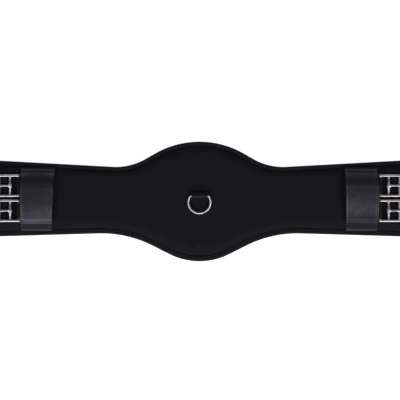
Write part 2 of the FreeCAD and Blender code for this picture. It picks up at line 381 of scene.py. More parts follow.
# ---------------------------------------------------------------- sewing
def stitch_shape():
    """One stitch: a round thread that dips into the cloth at both ends."""
    deselect()
    bpy.ops.mesh.primitive_uv_sphere_add(segments=8, ring_count=6, radius=0.5)
    piece = bpy.context.object
    mesh = piece.data
    thread = sizes().thread
    span = sizes().stitch * 0.84
    for vertex in mesh.vertices:
        x, y, z = vertex.co
        sag = -0.9 * (2 * z) ** 4
        vertex.co = (z * span, x * thread, (y + sag * 0.5) * thread)
    corners = np.array([v.co for v in mesh.vertices])
    faces = [tuple(p.vertices) for p in mesh.polygons]
    bpy.data.objects.remove(piece)
    return corners, faces


def sew(places):
    """Copies of the stitch at places of (point, along, up), as one mesh."""
    corners, faces = stitch_shape()
    points, sides = [], []
    for point, along, up in places:
        across = up.cross(along).normalized()
        turn = np.array([along.normalized(), across, along.cross(across).normalized()])
        base = len(points) * len(corners)
        points.append(corners @ turn + np.array(point))
        sides += [tuple(base + i for i in face) for face in faces]
    mesh = bpy.data.meshes.new("seam")
    mesh.from_pydata(np.concatenate(points).tolist(), [], sides)
    piece = bpy.data.objects.new("seam", mesh)
    bpy.context.scene.collection.objects.link(piece)
    outwards(piece)
    smooth(piece, 60)
    return piece


def along_path(path, up):
    """Stitch places along a list of points."""
    steps = [(b - a).length for a, b in zip(path, path[1:])]
    count = max(1, round(sum(steps) / sizes().stitch))
    pitch = sum(steps) / count
    places = []
    k, walked = 0, 0.0
    for i in range(count):
        target = (i + 0.5) * pitch
        while walked + steps[k] < target:
            walked += steps[k]
            k += 1
        part = (target - walked) / steps[k]
        direction = path[k + 1] - path[k]
        places.append((path[k] + direction * part, direction, up))
    return places


def seam(name, paths, body, slot, up=1):
    """Rows of stitches along paths, as one named piece of thread, seen from above or below."""
    places = [place for path in paths for place in along_path(path, Vector((0, 0, up)))]
    finished(sew(places), name, "thread", body, slot)


# ---------------------------------------------------------------- materials
def node(tree, kind, sockets=None, **settings):
    """Adds a node, with settings as attributes and sockets as values or links."""
    made = tree.nodes.new(kind)
    for name, value in settings.items():
        setattr(made, name, value)
    for name, value in (sockets or {}).items():
        if isinstance(value, bpy.types.NodeSocket):
            tree.links.new(value, made.inputs[name])
        else:
            made.inputs[name].default_value = value
    return made


def per_mm(feature):
    """Texture scale that makes one feature this many millimetres."""
    return 1000.0 / feature


def blank(name):
    """A material with its output, its coordinates and its shader still to come."""
    material = bpy.data.materials.new(name)
    material.use_nodes = True
    tree = material.node_tree
    tree.nodes.clear()
    place = node(tree, "ShaderNodeTexCoord").outputs["Object"]
    return material, tree, place


def shade(tree, base, normal, roughness, **constants):
    """The surface shader, joined to the output."""
    sockets = {"Base Color": base, "Roughness": roughness}
    if normal is not None:
        sockets["Normal"] = normal
    shader = node(tree, "ShaderNodeBsdfPrincipled", sockets)
    for name, value in constants.items():
        shader.inputs[name.replace("_", " ").title().replace("Ior", "IOR")].default_value = value
    node(tree, "ShaderNodeOutputMaterial", {"Surface": shader.outputs[0]})
    return shader


def cloudy(tree, place, feature, detail=3.0, rough=0.55):
    return node(
        tree,
        "ShaderNodeTexNoise",
        {"Vector": place, "Scale": per_mm(feature), "Detail": detail, "Roughness": rough},
    ).outputs["Fac"]


def spread(tree, value, low, high, to_low, to_high):
    return node(
        tree,
        "ShaderNodeMapRange",
        {"Value": value, "From Min": low, "From Max": high, "To Min": to_low, "To Max": to_high},
    ).outputs["Result"]


def tone(tree, value, dark, light):
    """A ramp between two shades of one colour."""
    ramp = node(tree, "ShaderNodeValToRGB", {"Fac": value})
    ramp.color_ramp.elements[0].position = 0.3
    ramp.color_ramp.elements[1].position = 0.7
    ramp.color_ramp.elements[0].color = dark
    ramp.color_ramp.elements[1].color = light
    return ramp.outputs["Color"]


def shades(base, spread_by):
    dark = [c * (1 - spread_by) for c in base] + [1.0]
    light = [c * (1 + spread_by) for c in base] + [1.0]
    return dark, light


def bump(tree, height, depth, under=None):
    """Relief of a height pattern, depth in metres."""
    sockets = {"Height": height, "Strength": 1.0, "Distance": depth}
    if under is not None:
        sockets["Normal"] = under
    return node(tree, "ShaderNodeBump", sockets).outputs["Normal"]


def microfibre():
    """Brushed microfibre: a short nap, matt with a faint bluish bloom at grazing angles."""
    material, tree, place = blank("brushed microfibre")
    nap = cloudy(tree, place, 0.7, 6.0, 0.75)
    patches = cloudy(tree, place, 45.0, 3.0)
    both = node(tree, "ShaderNodeMath", {0: patches, 1: nap}, operation="ADD").outputs[0]
    base = tone(tree, spread(tree, both, 0.6, 1.4, 0, 1), *shades(colours().face, 0.16))
    relief = bump(tree, nap, 0.00005)
    rough = spread(tree, patches, 0.3, 0.7, 0.74, 0.86)
    shade(
        tree, base, relief, rough, specular_ior_level=0.15, sheen_weight=0.05, sheen_roughness=0.45
    )
    return material


def grained(name, base, grain, depth, rough, gloss, coat=0.0, shine=(1.0, 1.0, 1.0, 1.0)):
    """Coated synthetic leather: embossed pebble grain, whose creases stay duller."""
    material, tree, place = blank(name)
    pebbles = node(
        tree,
        "ShaderNodeTexVoronoi",
        {"Vector": place, "Scale": per_mm(grain), "Randomness": 0.9},
        feature="SMOOTH_F1",
    ).outputs["Distance"]
    soft = cloudy(tree, place, 12.0, 3.0)
    colour_mix = tone(tree, soft, *shades(base, 0.14))
    relief = bump(tree, soft, 0.0004)
    relief = bump(tree, pebbles, depth, relief)
    roughness = spread(tree, pebbles, 0.1, 0.7, rough - 0.05, rough + 0.08)
    shade(
        tree,
        colour_mix,
        relief,
        roughness,
        specular_ior_level=gloss,
        specular_tint=shine,
        coat_weight=coat,
        coat_roughness=0.3,
        coat_tint=shine,
    )
    return material


def woven(name, base, rib, across):
    """Narrow woven goods: ribs along the length and finer picks across it."""
    material, tree, place = blank(name)
    split = node(tree, "ShaderNodeSeparateXYZ", {"Vector": place}).outputs
    waves = []
    for axis, feature in ((across, rib), ("X", rib * 0.6)):
        turns = node(
            tree,
            "ShaderNodeMath",
            {0: split[axis], 1: 2 * math.pi * per_mm(feature)},
            operation="MULTIPLY",
        ).outputs[0]
        waves.append(node(tree, "ShaderNodeMath", {0: turns}, operation="SINE").outputs[0])
    weave = node(
        tree, "ShaderNodeMath", {0: waves[1], 1: 0.5, 2: waves[0]}, operation="MULTIPLY_ADD"
    ).outputs[0]
    base_mix = tone(tree, spread(tree, weave, -1.5, 1.5, 0, 1), *shades(base, 0.35))
    relief = bump(tree, weave, 0.00008)
    shade(tree, base_mix, relief, 0.72, specular_ior_level=0.3, sheen_weight=0.08)
    return material


def twisted_thread():
    """Bonded polyester thread: a tight twist with a low waxy shine."""
    material, tree, place = blank("bonded polyester thread")
    fibres = cloudy(tree, place, 0.5, 2.0)
    base = tone(tree, fibres, *shades(colours().thread, 0.3))
    shade(tree, base, bump(tree, fibres, 0.00008), 0.5, specular_ior_level=0.4)
    return material


def polished_steel():
    """Cast and tumbled stainless steel: bright, with soft hazy patches and hairline wear."""
    material, tree, place = blank("tumbled stainless steel")
    haze = cloudy(tree, place, 3.0, 4.0, 0.6)
    wear = cloudy(tree, place, 0.5, 2.0)
    base = tone(tree, haze, *shades(colours().steel, 0.07))
    rough = spread(tree, haze, 0.3, 0.7, 0.3, 0.38)
    shade(tree, base, bump(tree, wear, 0.000004), rough, metallic=1.0)
    return material


FINISHES = {}


def finish_of(name):
    """The named finish, made when it is first asked for."""
    makers = {
        "face": microfibre,
        "tape": lambda: grained("coated binding tape", colours().tape, 0.8, 0.00006, 0.66, 0.15),
        "lining": lambda: grained(
            "soft grained lining leather", colours().lining, 1.6, 0.00012, 0.6, 0.35
        ),
        "band": lambda: grained(
            "satin coated leather",
            colours().band,
            1.0,
            0.00003,
            0.4,
            0.64,
            0.05,
            (0.86, 0.82, 1.0, 1.0),
        ),
        "strap": lambda: grained("waxed strap leather", colours().strap, 0.9, 0.00005, 0.6, 0.25),
        "elastic": lambda: woven("ribbed woven elastic", colours().elastic, 1.25, "Y"),
        "webbing": lambda: woven("woven load webbing", colours().webbing, 1.6, "Y"),
        "thread": twisted_thread,
        "steel": polished_steel,
    }
    if name not in FINISHES:
        FINISHES[name] = makers[name]()
    return FINISHES[name]


# ---------------------------------------------------------------- pad
def ring_at(points, inward, inset, height):
    """The outline taken in by inset, at one height, both in millimetres."""
    return [taken_in(p, n, inset, height) for p, n in zip(points, inward)]


SEWN_HEIGHT = 3.0 * MM  # cloth this near the bottom is held by the seam
FILL_FRAMES = 20


def swell(piece, voxel, pressure, cap, ceiling):
    """Fills the piece like a foam pad by blowing it up as cloth, within a cap."""
    apply(piece, "REMESH", mode="VOXEL", voxel_size=voxel, use_smooth_shade=True)
    mesh = piece.data
    before = np.array([v.co for v in mesh.vertices])
    low = before[:, 2].min()
    pinned = piece.vertex_groups.new(name="sewn")
    sewn = [i for i, co in enumerate(before) if co[2] < low + SEWN_HEIGHT]
    pinned.add(sewn, 1.0, "REPLACE")
    only(piece)
    cloth = piece.modifiers.new("Cloth", "CLOTH")
    cloth.settings.quality = 5
    cloth.settings.mass = 0.3
    cloth.settings.tension_stiffness = 12
    cloth.settings.compression_stiffness = 12
    cloth.settings.bending_stiffness = 0.6
    cloth.settings.use_pressure = True
    cloth.settings.uniform_pressure_force = pressure
    cloth.settings.vertex_group_mass = "sewn"
    cloth.settings.effector_weights.gravity = 0
    cloth.collision_settings.use_collision = False
    cloth.point_cache.frame_start = 1
    cloth.point_cache.frame_end = FILL_FRAMES
    for number in range(1, FILL_FRAMES + 1):
        bpy.context.scene.frame_set(number)
    bpy.ops.object.modifier_apply(modifier=cloth.name)
    bpy.context.scene.frame_set(1)
    after = np.array([v.co for v in mesh.vertices])
    moved = after - before
    far = np.linalg.norm(moved, axis=1)
    scale = np.minimum(1.0, cap / np.maximum(far, 1e-9))
    after = before + moved * scale[:, None]
    after[:, 2] = np.minimum(after[:, 2], ceiling)
    for vertex, co in zip(mesh.vertices, after):
        vertex.co = co
    piece.vertex_groups.clear()
    apply(piece, "SMOOTH", factor=0.5, iterations=2)
    apply(piece, "SUBSURF", levels=1, render_levels=1)


# inset from the edge and height, in millimetres, of the rings that each soft shell is drawn from
CUSHION_RINGS = (
    (9.5, 1.4), (5.4, 1.6), (5.4, 4.9), (8.0, 5.4), (8.7, 6.9), (10.2, 8.0), (13.0, 8.6),
    (19.0, 8.9),
)
LINING_RINGS = (
    (11.0, 2.6), (6.8, 2.6), (6.4, 1.9), (6.9, 1.0), (8.4, 0.45), (10.5, 0.1), (13.0, 0.0),
)
# the folded tape, round its section
TAPE_SECTION = (
    (8.05, 5.2), (8.15, 5.75), (7.7, 6.15), (6.6, 6.35), (5.7, 6.22), (5.2, 5.95), (4.7, 6.25),
    (3.4, 6.55), (2.0, 6.3), (0.6, 5.45), (-0.2, 4.4), (-0.35, 3.2), (-0.2, 2.0), (0.6, 1.0),
    (2.0, 0.2), (3.4, 0.0), (4.7, 0.12), (5.2, 0.4), (5.7, 0.15), (6.9, 0.1), (7.9, 0.45),
    (8.1, 1.0), (7.6, 1.3), (5.2, 1.35), (2.6, 1.4), (1.3, 3.2), (2.6, 5.0), (7.0, 5.1),
)
SEAM_INSET = 5.2
SEAM_TOP, SEAM_UNDER = 6.12, 0.32


def make_cushion():
    """Foam under the outer face, swollen between the bound edges."""
    points, inward = pad_edge(2.4 * MM)
    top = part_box("face_cover")[1][2]
    piece = hoop(
        [ring_at(points, inward, *ring) for ring in CUSHION_RINGS], first_cap=True, last_cap=True
    )
    swell(piece, 2.8 * MM, 4.0, 3.0 * MM, top - 0.02 * MM)
    smooth(piece, 80)
    finished(piece, "pad_cushion", "face", "girth", "face", "face_cover", "foam_core")


def make_lining():
    """Soft underside, flat where it lies and eased up into the binding."""
    points, inward = pad_edge(3.0 * MM)
    piece = hoop(
        [ring_at(points, inward, *ring) for ring in LINING_RINGS], first_cap=True, last_cap=True
    )
    smooth(piece, 50)
    finished(piece, "pad_lining", "lining", "girth", "lining", "lining")


def make_binding():
    """Folded tape round the edge, pulled down along its stitch line."""
    points, inward = pad_edge(sizes().stitch / 3)
    rings = []
    for inset, height in TAPE_SECTION:
        on_seam_side = height > 5.6 or height < 0.8
        groove = max(0.0, 1 - abs(inset - SEAM_INSET)) if on_seam_side else 0.0
        lean = -1 if height > 3 else 1
        ring = []
        for k, (p, n) in enumerate(zip(points, inward)):
            pull = (0.5 + 0.5 * math.cos(2 * math.pi * k / 3)) * groove * 0.22
            wave = noise.noise(Vector((p.x, p.y, height * 0.02)) * 34) * 0.12
            z = max(0.0, height + lean * pull + (wave if height > 3 else 0.0))
            ring.append(taken_in(p, n, inset, z))
        rings.append(ring)
    piece = hoop(rings, closed=True)
    smooth(piece, 70)
    finished(piece, "edge_tape", "tape", "girth", "binding", "edge_binding")
    for name, height, up in (("edge_seam_top", SEAM_TOP, 1), ("edge_seam_under", SEAM_UNDER, -1)):
        path = [Vector(taken_in(p, n, SEAM_INSET, height)) for p, n in zip(points, inward)]
        seam(name, [path + path[:1]], "girth", "binding", up)


# ---------------------------------------------------------------- keepers
def between(table, at):
    """A smooth curve through rows of (place, value), places falling, that never overshoots."""

    def slope(i):
        (here, value), (there, following) = table[i], table[i + 1]
        return (following - value) / (there - here)

    def lean(i):
        before, after = slope(max(i - 1, 0)), slope(min(i, len(table) - 2))
        return 2 * before * after / (before + after) if before * after > 0 else 0.0

    k = 0
    while k < len(table) - 2 and at < table[k + 1][0]:
        k += 1
    span = table[k + 1][0] - table[k][0]
    t = max(0.0, min(1.0, (at - table[k][0]) / span))
    return (
        (2 * t**3 - 3 * t**2 + 1) * table[k][1]
        + (t**3 - 2 * t**2 + t) * lean(k) * span
        + (3 * t**2 - 2 * t**3) * table[k + 1][1]
        + (t**3 - t**2) * lean(k + 1) * span
    )


BAND_ARCH = {
    # distance rearward of the buckle axis and height of the band's underside, in millimetres
    "left": (
        (43.4, 9.1), (40.4, 8.9), (37.8, 10.1), (34.8, 13.0), (31.6, 15.8), (27.5, 18.2),
        (21.5, 20.0), (13.0, 20.8), (3.0, 20.8), (-8.0, 20.5), (-18.0, 19.4), (-25.0, 17.9),
        (-31.3, 15.8), (-34.2, 12.9), (-36.6, 10.2), (-38.4, 8.9), (-46.6, 9.0),
    ),
    "right": (
        (43.4, 9.1), (40.4, 8.9), (37.8, 10.1), (34.8, 13.0), (31.6, 15.8), (25.0, 19.8),
        (18.0, 21.0), (9.0, 20.8), (0.0, 20.3), (-8.0, 19.4), (-13.0, 18.4), (-18.0, 17.2),
        (-23.0, 16.2), (-27.0, 15.7), (-31.8, 15.4), (-33.5, 11.4), (-35.0, 9.1),
        (-36.6, 8.8), (-46.6, 9.4),
    ),
}
FOOT_EDGE = 8.3          # height of both feet's cut edges, in millimetres
FOOT_DRAWN = (0.8, 1.2)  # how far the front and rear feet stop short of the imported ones
# how far the band's pad-side edge moves right at its front and rear foot,
# and how far its buckle-side edge is drawn in at both feet
BAND_LEAN = {"left": (-2.6, 2.0, 1.8), "right": (0.7, -0.5, 2.6)}
HEM = 3.1                # from the band's edge to its hem's groove and stitches
FOOT_ROW = 0.022         # the feet's stitches, as a share of the band's depth


def make_keepers():
    """Satin bands arched over the straps, with turned hems along both open edges."""
    thick = sizes().band_thick
    axis = buckle_axis()
    for end, sign in ENDS.items():
        low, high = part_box(f"{end}_keeper")
        front_foot = low[1] + FOOT_DRAWN[0] * MM
        rear_foot = high[1] - FOOT_DRAWN[1] * MM
        arch = [
            ((rear_foot - axis) / MM, FOOT_EDGE),
            *BAND_ARCH[end],
            ((front_foot - axis) / MM, FOOT_EDGE),
        ]

        def shape(u, v):
            x = low[0] + u * (high[0] - low[0])
            y = front_foot + v * (rear_foot - front_foot)
            z = between(arch, (y - axis) / MM) * MM
            outward = u if sign > 0 else 1 - u
            edge = min(u, 1 - u) * (high[0] - low[0]) / MM
            standing = ease((z - 9.5 * MM) / (8.0 * MM))
            hem = 0.2 * math.exp(-(((edge - 1.2) / 1.3) ** 2))
            groove = -0.3 * math.exp(-(((edge - HEM) / 0.45) ** 2))
            crease = noise.noise(Vector((x * 26 + sign * y * 14, y * 20, 3.0 + sign)))
            crease += 0.4 * noise.noise(Vector((x * 60 - y * 40, y * 55, 8.0 + sign)))
            sag = -0.8 * math.sin(math.pi * outward) * standing
            lift = (hem + groove + crease * 0.6 * standing + sag) * MM
            front, rear, drawn = BAND_LEAN[end]
            x += (front + (rear - front) * v) * (1 - outward) * MM
            x -= sign * drawn * abs(2 * v - 1) ** 3 * outward * MM
            return (x, y, z + lift)

        def on_top(u, v):
            return Vector(shape(u, v)) + Vector((0, 0, thick + 0.05 * MM))

        piece = strip(96, 130, shape)
        thicken(piece, thick, 0.4 * MM, offset=1.0)
        finished(piece, f"{end}_keeper_band", "band", "girth", "keeper", f"{end}_keeper")
        hem = HEM * MM / (high[0] - low[0])
        paths = [[on_top(u, k / 80) for k in range(2, 79)] for u in (hem, 1 - hem)]
        paths += [[on_top(k / 20, v) for k in range(1, 20)] for v in (FOOT_ROW, 1 - FOOT_ROW)]
        seam(f"{end}_keeper_seam", paths, "girth", "keeper")


# ---------------------------------------------------------------- straps
# places along the straps, from the girth's middle
BOX_STITCH = (225.5 * MM, 232.5 * MM)    # the box that sews elastic to webbing
CHAPE_STITCH = (258.2 * MM, 262.2 * MM)  # two rows across the chape
WEBBING_RISE = 222.8 * MM                # where the webbing comes up through the face
BAR_BORE = 1.98 * MM                     # radius of a fold round a bar, with its play


def make_elastics():
    """Elastic straps, stitched to the webbing, with their ends in the chapes."""
    for end, sign in ENDS.items():
        for row in ROWS:
            name = f"{end}_{row}"
            low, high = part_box(f"{name}_elastic")
            middle = (low[2] + high[2]) / 2

            def shape(u, v):
                return (low[0] + u * (high[0] - low[0]), low[1] + v * (high[1] - low[1]), middle)

            piece = strip(40, 12, shape)
            thicken(piece, (high[2] - low[2]) * 0.84, 0.3 * MM)
            finished(
                piece, f"{name}_elastic_strap", "elastic", None, "elastic", f"{name}_elastic"
            )
            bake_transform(piece)
            near, far = (sign * x for x in BOX_STITCH)
            front, rear = low[1] + 2.5 * MM, high[1] - 2.5 * MM
            box = [
                Vector((x, y, high[2] + 0.02 * MM))
                for x, y in ((near, front), (near, rear), (far, rear), (far, front))
            ]
            paths = [[a, b] for a, b in zip(box, box[1:] + box[:1])]
            paths += [[box[0], box[2]], [box[1], box[3]]]
            seam(f"{name}_elastic_seam", paths, "girth", "elastic")


def chape_path(sign, hinge, start, legs, thick):
    """Middle line of the chape's leather, from its upper leg round the bar to its lower leg."""
    x_bar, z_bar = hinge[0] * sign, hinge[2]
    turn = BAR_BORE + thick / 2
    neck, slope = x_bar - 6.2 * MM, 5.8 * MM
    points = []
    for k in range(17):
        x = start + (x_bar - start) * k / 16
        points.append((x, legs[1] + (z_bar + turn - legs[1]) * ease((x - neck) / slope)))
    for k in range(1, 20):
        angle = math.pi / 2 - math.pi * k / 20
        points.append((x_bar + turn * math.cos(angle), z_bar + turn * math.sin(angle)))
    for k in range(17):
        x = x_bar - (x_bar - start) * k / 16
        points.append((x, legs[0] + (z_bar - turn - legs[0]) * ease((x - neck) / slope)))
    return [(sign * x, z) for x, z in points]


def make_chapes():
    """Leather loops round the buckles' hinge bars, sewn over the elastic's end."""
    thick = sizes().strap_thick
    for end, sign in ENDS.items():
        for row in ROWS:
            name = f"{end}_{row}"
            hinge = JOINTS[f"{name}_lift"]["pos_m"]
            low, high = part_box(f"{name}_chape")
            strap_low, strap_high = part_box(f"{name}_elastic")
            legs = (strap_low[2] - thick / 2, strap_high[2] + thick / 2)
            start = min(abs(low[0]), abs(high[0]))
            piece = ribbon(chape_path(sign, hinge, start, legs, thick), low, high, 16)
            thicken(piece, thick, 0.3 * MM)
            finished(
                piece, f"{name}_chape_loop", "strap", f"{name}_chape", "strap", f"{name}_chape"
            )
            top = legs[1] + thick / 2 + 0.03 * MM
            front, rear = low[1] + 2 * MM, high[1] - 2 * MM
            paths = [[Vector((sign * x, y, top)) for y in (front, rear)] for x in CHAPE_STITCH]
            seam(f"{name}_chape_seam", paths, f"{name}_chape", "strap")


def make_webbings():
    """Load webbing: flat in the pad, up through the face, and out under the elastic."""
    bend = 1.2 * MM
    for row in ROWS:
        low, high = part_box(f"load_webbing_{row}")
        bottom, top = low[2] + 0.75 * MM, high[2] - 0.75 * MM
        half = [(0.0, bottom), (200 * MM, bottom), (WEBBING_RISE - bend, bottom)]
        half += [(WEBBING_RISE - 0.3 * MM, bottom + 0.4 * MM), (WEBBING_RISE, bottom + bend)]
        half += [(WEBBING_RISE, top - bend), (WEBBING_RISE + 0.3 * MM, top - 0.4 * MM)]
        half += [(WEBBING_RISE + bend, top), (high[0], top)]
        path = [(-x, z) for x, z in reversed(half[1:])] + half
        piece = ribbon(path, low, high, 12)
        thicken(piece, 1.4 * MM, 0.25 * MM)
        name = f"load_webbing_{row}"
        finished(piece, f"{name}_strap", "webbing", "girth", "webbing", name)


# ---------------------------------------------------------------- dee
def make_dee_tab():
    """Doubled strap folded round the dee's bar and tucked into its slot."""
    thick = sizes().tab_thick
    _, bar_y, bar_z = JOINTS["dee_swing"]["pos_m"]
    low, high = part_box("dee_tab")
    turn = BAR_BORE + thick / 2
    slot_y = (buckle_axis() + 10.0 * MM, buckle_axis() + 11.2 * MM)
    bottom = 7.0 * MM
    path = []
    steps = 22
    for k in range(steps + 1):
        t = k / steps
        y = slot_y[1] - (slot_y[1] - bar_y) * t
        rise = 1 - (1 - min(1.0, t * 1.02)) ** 2.6
        path.append((y, bottom + (bar_z + turn - bottom) * rise))
    for k in range(1, 20):
        angle = math.pi / 2 + math.pi * k / 20
        path.append((bar_y + turn * math.cos(angle), bar_z + turn * math.sin(angle)))
    for k in range(steps + 1):
        t = 1 - k / steps
        y = slot_y[0] - (slot_y[0] - bar_y) * t
        rise = 1 - (1 - t) ** 2.6
        below = max(9.0 * MM + thick * 0.6, bar_z - turn)
        sink = ease((y - slot_y[0] + 2.2 * MM) / (2.2 * MM))
        lift = math.sin(math.pi * min(1.0, max(0.0, 1 - t))) ** 3 * 0.5 * MM
        path.append((y, below + lift + (bottom - below) * sink))

    def shape(u, v):
        y, z = follow(path, u)
        return (low[0] + v * (high[0] - low[0]), y, z)

    piece = strip(len(path) - 1, 16, shape)
    thicken(piece, thick * 0.96, 0.3 * MM)
    finished(piece, "dee_tab_fold", "strap", "girth", "strap", "dee_tab")


# ---------------------------------------------------------------- steel
def buckle_plane(name):
    """Places of a buckle's hinge bar, and how its own plane is turned: along, across and up."""
    hinge = Vector(JOINTS[f"{name}_lift"]["pos_m"])
    roller = Vector(JOINTS[f"{name}_roller_spin"]["pos_m"])
    along = (roller - hinge).normalized()
    across = Vector((0, 1, 0))
    up = along.cross(across)
    up = up if up.z > 0 else -up
    return hinge, along, across, up, (roller - hinge).length


def wire(centres, sides, ups, radii, around=16, closed=True, caps=False, power=1.0):
    """A bar swept along centres.  radii gives its half width and half height at each one."""
    rings = []
    for i in range(around):
        angle = 2 * math.pi * i / around
        c, s = math.cos(angle), math.sin(angle)
        c = math.copysign(abs(c) ** power, c)
        s = math.copysign(abs(s) ** power, s)
        rings.append(
            [m + a * (c * r[0]) + b * (s * r[1]) for m, a, b, r in zip(centres, sides, ups, radii)]
        )
    if closed:
        return hoop(rings, closed=True)
    stations = [[ring[k] for ring in rings] for k in range(len(centres))]
    return hoop(stations, first_cap=caps, last_cap=caps)


def join(piece, other):
    """Welds other into piece as one body."""
    apply(piece, "BOOLEAN", operation="UNION", object=other, solver="EXACT")
    bpy.data.objects.remove(other)


def buckle_frame(name):
    """Cast frame: round bars at both ends, flatter side rails, and a collared tongue bar."""
    hinge, along, across, up, span = buckle_plane(name)
    rail = 15.1 * MM
    corner = 2.3 * MM
    corners = [(0, -rail, corner), (span, -rail, corner), (span, rail, corner), (0, rail, corner)]
    flat, normals = tangent_outline(corners, 0.7 * MM)
    centres, sides, ups, radii = [], [], [], []
    for p, n in zip(flat, normals):
        on_rail = ease((abs(p.y) - 13.0 * MM) / (1.7 * MM))
        bar = 1.84 * MM if p.x < span / 2 else 1.61 * MM
        centres.append(hinge + along * p.x + across * p.y)
        sides.append(along * n.x + across * n.y)
        ups.append(up)
        radii.append((bar + (2.0 * MM - bar) * on_rail, bar + (2.1 * MM - bar) * on_rail))
    ring = wire(centres, sides, ups, radii, around=20, power=0.9)
    block = [(-1.85, 1.35), (-1.55, 1.75), (-1.0, 1.95), (1.2, 1.95), (3.2, 1.5)]
    for side in (-rail, rail):
        rail_end = wire(
            [hinge + along * (x * MM) + across * side for x, _ in block],
            [across] * len(block),
            [up] * len(block),
            [(r * MM, r * MM) for _, r in block],
            around=20,
            closed=False,
            caps=True,
            power=0.6,
        )
        join(ring, rail_end)
    tongue_bar = Vector(JOINTS[f"{name}_tongue_swing"]["pos_m"])
    profile = [
        (-14.6, 1.8), (-13.4, 1.95), (-12.4, 1.8), (-10.8, 1.75), (-5.8, 1.74), (-5.2, 1.95),
        (-4.7, 2.2), (-4.0, 2.28), (-3.6, 2.1), (-3.4, 1.74), (3.4, 1.74), (3.6, 2.1),
        (4.0, 2.28), (4.7, 2.2), (5.2, 1.95), (5.8, 1.74), (10.8, 1.75), (12.4, 1.8),
        (13.4, 1.95), (14.6, 1.8),
    ]
    bar = wire(
        [tongue_bar + across * (y * MM) for y, _ in profile],
        [along] * len(profile),
        [up] * len(profile),
        [(r * MM, r * MM) for _, r in profile],
        around=24,
        closed=False,
        caps=True,
    )
    join(ring, bar)
    smooth(ring, 50)
    return ring


def buckle_tongue(name):
    """One flattened bar rolled round its pivot, run up over the roller and drawn to a tip."""
    hinge, along, across, up, span = buckle_plane(name)
    pivot = Vector(JOINTS[f"{name}_tongue_swing"]["pos_m"])
    reach = span - (pivot - hinge).length
    eye_long, eye_high = 2.72, 2.47
    over = 3.05
    line = []
    for k in range(25):
        angle = math.radians(-52 - 250 * k / 24)
        width = 3.3 - 0.6 * math.cos(angle) ** 2
        line.append((eye_long * math.cos(angle), eye_high * math.sin(angle), width, 0.61))
    shank = [
        (2.9, 2.5, 1.9, 0.95), (4.6, 2.75, 1.25, 1.05), (7.0, 3.25, 1.3, 1.1),
        (10.0, 3.95, 1.55, 1.15), (13.5, 4.25, 1.85, 1.16), (reach / MM, over + 1.2, 1.95, 1.15),
        (reach / MM + 2.2, 3.95, 1.75, 1.0), (reach / MM + 3.6, 3.45, 1.35, 0.8),
        (reach / MM + 4.3, 3.1, 0.7, 0.45),
    ]
    line += shank
    dense = []
    for k in range(len(line) - 1):
        before, here = line[max(k - 1, 0)], line[k]
        there, beyond = line[k + 1], line[min(k + 2, len(line) - 1)]
        parts = 1 if k < 23 else 4
        for i in range(parts):
            t = i / parts
            dense.append(
                [
                    0.5 * (2 * b + (c - a) * t + (2 * a - 5 * b + 4 * c - d) * t**2
                           + (3 * b - a - 3 * c + d) * t**3)
                    for a, b, c, d in zip(before, here, there, beyond)
                ]
            )
    dense.append(list(line[-1]))
    centres, ups = [], []
    for k, (x, z, _, _) in enumerate(dense):
        centres.append(pivot + along * (x * MM) + up * (z * MM))
        nearby = (dense[max(k - 1, 0)], dense[min(k + 1, len(dense) - 1)])
        dx, dz = nearby[1][0] - nearby[0][0], nearby[1][1] - nearby[0][1]
        ups.append((along * -dz + up * dx).normalized())
    radii = [(w * MM, t * MM) for _, _, w, t in dense]
    return wire(
        centres, [across] * len(centres), ups, radii, around=18, closed=False, caps=True, power=0.75
    )


def make_buckles():
    """Cast steel frames and tongues; the plain rollers keep their own shape."""
    for end in ENDS:
        for row in ROWS:
            name = f"{end}_{row}"
            cast = buckle_frame(name)
            finished(
                cast, f"{name}_buckle_cast", "steel", f"{name}_buckle", "steel", f"{name}_frame"
            )
            tongue = buckle_tongue(name)
            smooth(tongue, 50)
            body = f"{name}_tongue"
            finished(tongue, f"{body}_rolled", "steel", body, "steel", body)
            roller = frame["nodes"][f"{name}_roller"]
            for slot in roller.material_slots:
                slot.material = finish_of("steel")


def arc(centre, radius, start, sweep, count):
    """Points and outward normals along an arc, without its last point."""
    made = []
    for k in range(count):
        angle = start + sweep * k / count
        spoke = Vector((math.cos(angle), math.sin(angle)))
        made.append((Vector(centre) + spoke * radius, spoke))
    return made


def make_dee():
    """Round steel wire bent to a dee, lying against the face."""
    _, bar_y, bar_z = JOINTS["dee_swing"]["pos_m"]
    low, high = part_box("dee_ring")
    gauge = 1.9 * MM
    bow = (high[0] - low[0]) / 2 - gauge
    bow_y = buckle_axis() - 5.85 * MM - bar_y
    corner = 2.3 * MM
    corner_x = math.sqrt((bow - corner) ** 2 - (corner + bow_y) ** 2)
    lean = math.atan2(-corner - bow_y, corner_x)
    quarter = math.pi / 2
    flat = [(Vector((corner_x * (2 * k / 7 - 1), 0)), Vector((0, 1))) for k in range(7)]
    flat += arc((corner_x, -corner), corner, quarter, lean - quarter, 8)
    flat += arc((0, bow_y), bow, lean, -(math.pi + 2 * lean), 80)
    flat += arc((-corner_x, -corner), corner, math.pi - lean, lean - quarter, 8)
    drop = (bar_z - (low[2] + gauge)) / (bow - bow_y)
    tip = Matrix.Rotation(math.asin(drop), 3, "X")
    pivot = Vector((0, bar_y, bar_z))
    centres = [pivot + tip @ Vector((p.x, p.y, 0)) for p, _ in flat]
    sides = [tip @ Vector((n.x, n.y, 0)) for _, n in flat]
    ups = [tip @ Vector((0, 0, 1))] * len(flat)
    ring = wire(centres, sides, ups, [(gauge, gauge)] * len(flat), around=20)
    smooth(ring, 60)
    finished(ring, "dee_wire", "steel", "dee", "steel", "dee_ring")


